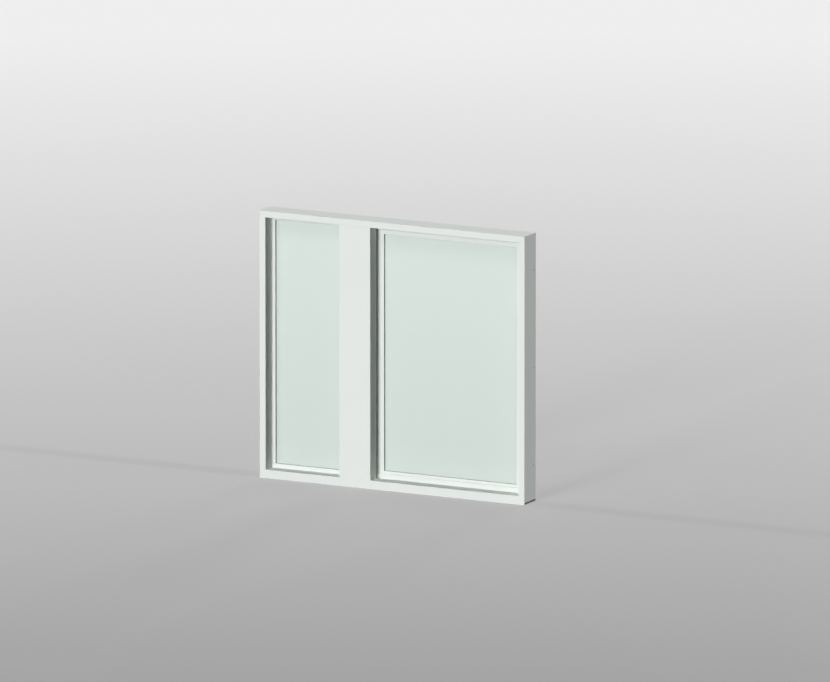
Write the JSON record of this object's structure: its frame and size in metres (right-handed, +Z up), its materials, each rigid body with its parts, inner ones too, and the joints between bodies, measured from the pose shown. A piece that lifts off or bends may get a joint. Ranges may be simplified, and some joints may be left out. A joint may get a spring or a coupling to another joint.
{
  "type": "sliding window",
  "caption": "White aluminium sliding window with a fixed light beside a wide mullion and a glazed sash that slides behind it on rollers, with a hook latch.",
  "frame": {"origin": "on the underside of the sill, in the middle of the frame's width and of the frame's depth without the handle", "axes": "+X to the right seen from outside, along the width; +Y from the outside face towards the room; +Z up"},
  "size_m": [1.2, 0.121, 1.1],
  "materials": {
    "white_aluminium": "satin white powder coat",
    "mill_aluminium": "mill finish",
    "clear_glass": "clear float glass, faint green",
    "black_rubber": "matt",
    "steel": "zinc plated",
    "grey_pile": "woven pile",
    "grey_plastic": "moulded",
    "white_plastic": "moulded acetal"
  },
  "bodies": {
    "frame": {"frame_sill": "white_aluminium", "frame_head": "white_aluminium", "frame_jamb_left": "white_aluminium", "frame_jamb_right": "white_aluminium", "front_mullion": "white_aluminium", "mullion_cleats": "mill_aluminium", "mullion_screws": "steel", "corner_cleats": "mill_aluminium", "fixed_glass": "clear_glass", "fixed_gasket_front": "black_rubber", "fixed_gasket_back": "black_rubber", "setting_blocks": "black_rubber", "bead_bottom": "white_aluminium", "bead_top": "white_aluminium", "bead_left": "white_aluminium", "bead_right": "white_aluminium", "rebate_infill": "white_aluminium", "track_cap": "steel", "channel_cover": "white_aluminium", "sill_end_caps": "grey_plastic", "brush_sill": "grey_pile", "brush_head": "grey_pile", "brush_jamb": "grey_pile", "brush_mullion": "grey_pile", "opening_buffers": "black_rubber", "closing_buffers": "black_rubber", "lift_blocks": "grey_plastic", "keeper": "steel", "keeper_screws": "steel"},
    "sash": {"sash_stile_meeting": "white_aluminium", "sash_stile_lock": "white_aluminium", "sash_rail_bottom": "white_aluminium", "sash_rail_top": "white_aluminium", "sash_glass": "clear_glass", "sash_gasket": "black_rubber", "sash_corner_screws": "steel", "sash_guides_bottom": "grey_plastic", "sash_guides_top": "grey_plastic", "roller_carriage_left": "grey_plastic", "roller_carriage_right": "grey_plastic", "roller_axle_left": "steel", "roller_axle_right": "steel", "carriage_rivets": "steel", "latch_plate": "white_aluminium", "latch_screws": "steel", "pull_handle": "white_aluminium", "handle_screws": "steel"},
    "roller_left": {"roller_wheel_left": "white_plastic"},
    "roller_right": {"roller_wheel_right": "white_plastic"},
    "latch": {"latch_lever": "white_aluminium", "latch_spindle": "steel", "latch_hook": "steel"}
  },
  "joints": [
    {"name": "sash_slide", "type": "slide", "parent": "frame", "child": "sash", "axis": [-1, 0, 0], "range_m": [0, 0.4242]},
    {"name": "roller_left_turn", "type": "hinge", "parent": "sash", "child": "roller_left", "pos_m": [-0.012, 0.032, 0.02695], "axis": [0, -1, 0], "continuous": true},
    {"name": "roller_right_turn", "type": "hinge", "parent": "sash", "child": "roller_right", "pos_m": [0.468, 0.032, 0.02695], "axis": [0, -1, 0], "continuous": true},
    {"name": "latch_turn", "type": "hinge", "parent": "sash", "child": "latch", "pos_m": [0.558, 0.032, 0.56], "axis": [0, -1, 0], "range_deg": [0, 90]}
  ],
  "couplings": [
    {"joint": "roller_left_turn", "follows": "sash_slide", "rad_per_m": 144.93},
    {"joint": "roller_right_turn", "follows": "sash_slide", "rad_per_m": 144.93}
  ]
}
